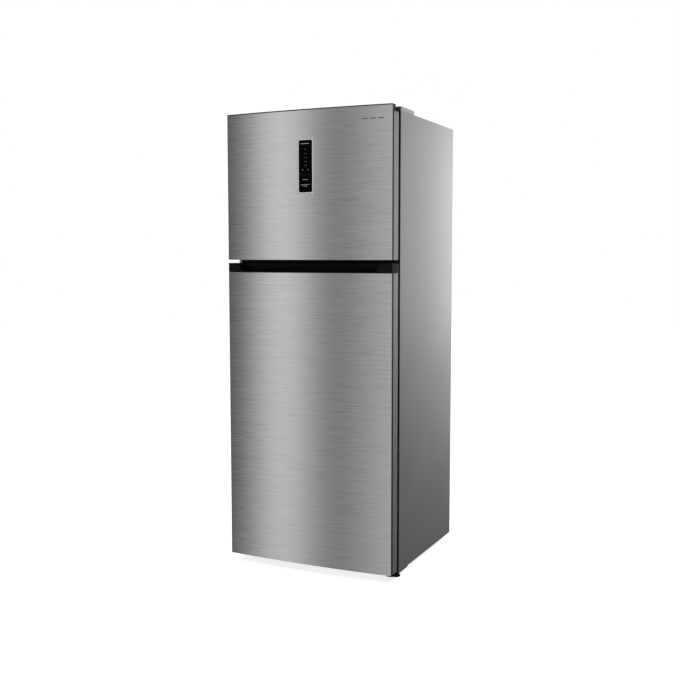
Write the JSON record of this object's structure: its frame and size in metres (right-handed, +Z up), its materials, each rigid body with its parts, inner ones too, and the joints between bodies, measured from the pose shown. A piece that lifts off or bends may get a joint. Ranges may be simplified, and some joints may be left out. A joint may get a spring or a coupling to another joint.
{
  "type": "top freezer refrigerator",
  "caption": "Two-door refrigerator with the freezer on top, crowned brushed steel doors, scooped handle cap and touch display.",
  "frame": {"origin": "middle of the footprint, on the floor", "axes": "-Y out of the doors, +X to the hinge side (the user's right when facing the doors), +Z up"},
  "size_m": [0.7, 0.7, 1.781],
  "materials": {
    "brushed_steel": "satin",
    "grey_paint": "satin",
    "dark_trim": "matte",
    "black_plastic": "satin",
    "display_black": "gloss",
    "display_rim": "satin",
    "seal_rubber": "matte",
    "white_liner": "satin",
    "clear_plastic": "gloss",
    "shelf_glass": "gloss",
    "insulation_foam": "matte",
    "zinc_sheet": "satin",
    "grey_cover": "matte",
    "black_metal": "satin",
    "aluminium_fins": "satin",
    "copper_tube": "satin"
  },
  "bodies": {
    "cabinet": {"cabinet_shell": "grey_paint", "rear_panel": "zinc_sheet", "bottom_plate": "zinc_sheet", "foam_insulation": "insulation_foam", "freezer_liner": "white_liner", "fridge_liner": "white_liner", "center_rail": "grey_paint", "top_hinge": "black_metal", "hinge_cover": "grey_cover", "middle_hinge": "black_metal", "bottom_hinge": "black_metal", "left_foot_bracket": "black_metal", "compressor_tray": "zinc_sheet", "compressor": "black_metal", "refrigerant_tubes": "copper_tube", "drain_pan": "black_plastic", "machine_cover": "dark_trim", "mains_inlet_gland": "black_plastic", "evaporator": "aluminium_fins", "evaporator_cover": "white_liner", "fan_motor": "black_plastic", "air_duct": "white_liner", "fridge_lamp": "clear_plastic", "glass_shelf_lower": "shelf_glass", "glass_shelf_upper": "shelf_glass", "crisper_cover": "shelf_glass", "freezer_shelf": "shelf_glass", "ice_maker_frame": "white_liner"},
    "freezer_door": {"freezer_door_skin": "brushed_steel", "freezer_door_edge": "dark_trim", "freezer_door_sides": "grey_paint", "freezer_door_cap": "dark_trim", "freezer_door_foam": "insulation_foam", "freezer_door_liner": "white_liner", "freezer_door_gasket": "seal_rubber", "display_bezel": "display_rim", "display_glass": "display_black", "freezer_door_bin_lower": "clear_plastic", "freezer_door_bin_upper": "clear_plastic"},
    "fridge_door": {"fridge_door_skin": "brushed_steel", "fridge_door_edge": "dark_trim", "fridge_door_sides": "grey_paint", "handle_cap": "black_plastic", "fridge_door_foam": "insulation_foam", "fridge_door_liner": "white_liner", "fridge_door_gasket": "seal_rubber", "bottle_bin": "clear_plastic", "door_bin": "clear_plastic", "dairy_bin": "clear_plastic"},
    "dairy_lid": {"dairy_lid": "clear_plastic"},
    "crisper_drawer": {"crisper_drawer": "clear_plastic"},
    "chiller_drawer": {"chiller_drawer": "clear_plastic"},
    "ice_box": {"ice_box": "clear_plastic"},
    "ice_tray_left": {"ice_tray_left": "clear_plastic"},
    "ice_tray_right": {"ice_tray_right": "clear_plastic"},
    "fan_blade": {"fan_blade": "dark_trim"},
    "foot_left": {"foot_left": "black_plastic"},
    "foot_right": {"foot_right": "black_plastic"},
    "roller_left": {"roller_left": "dark_trim"},
    "roller_right": {"roller_right": "dark_trim"}
  },
  "joints": [
    {"name": "freezer_door_hinge", "type": "hinge", "parent": "cabinet", "child": "freezer_door", "pos_m": [0.33, -0.2905, 1.498], "axis": [0, 0, 1], "range_deg": [0, 115]},
    {"name": "fridge_door_hinge", "type": "hinge", "parent": "cabinet", "child": "fridge_door", "pos_m": [0.33, -0.2905, 0.6168], "axis": [0, 0, 1], "range_deg": [0, 115]},
    {"name": "dairy_lid_flap", "type": "hinge", "parent": "fridge_door", "child": "dairy_lid", "pos_m": [0, -0.176, 1.12], "axis": [1, 0, 0], "range_deg": [0, 80]},
    {"name": "crisper_slide", "type": "slide", "parent": "cabinet", "child": "crisper_drawer", "axis": [0, -1, 0], "range_m": [0, 0.212]},
    {"name": "chiller_slide", "type": "slide", "parent": "cabinet", "child": "chiller_drawer", "axis": [0, -1, 0], "range_m": [0, 0.212]},
    {"name": "ice_box_slide", "type": "slide", "parent": "cabinet", "child": "ice_box", "axis": [0, -1, 0], "range_m": [0, 0.132]},
    {"name": "ice_tray_left_twist", "type": "hinge", "parent": "cabinet", "child": "ice_tray_left", "pos_m": [-0.232, 0, 1.612], "axis": [0, 1, 0], "range_deg": [0, 110], "stiffness_Nm_per_rad": 0.15},
    {"name": "ice_tray_right_twist", "type": "hinge", "parent": "cabinet", "child": "ice_tray_right", "pos_m": [-0.122, 0, 1.612], "axis": [0, 1, 0], "range_deg": [0, 110], "stiffness_Nm_per_rad": 0.15},
    {"name": "fan_spin", "type": "hinge", "parent": "cabinet", "child": "fan_blade", "pos_m": [0, 0.212, 1.585], "axis": [0, 1, 0], "continuous": true},
    {"name": "foot_left_screw", "type": "hinge", "parent": "cabinet", "child": "foot_left", "pos_m": [-0.33, -0.2415, 0], "axis": [0, 0, 1], "continuous": true},
    {"name": "foot_right_screw", "type": "hinge", "parent": "cabinet", "child": "foot_right", "pos_m": [0.33, -0.2415, 0], "axis": [0, 0, 1], "continuous": true},
    {"name": "roller_left_spin", "type": "hinge", "parent": "cabinet", "child": "roller_left", "pos_m": [-0.3, 0.296, 0.016], "axis": [1, 0, 0], "continuous": true},
    {"name": "roller_right_spin", "type": "hinge", "parent": "cabinet", "child": "roller_right", "pos_m": [0.3, 0.296, 0.016], "axis": [1, 0, 0], "continuous": true}
  ],
  "couplings": [
    {"joint": "crisper_slide", "follows": "fridge_door_hinge", "m_per_rad": 0.105},
    {"joint": "chiller_slide", "follows": "fridge_door_hinge", "m_per_rad": 0.105},
    {"joint": "ice_box_slide", "follows": "freezer_door_hinge", "m_per_rad": 0.065}
  ]
}
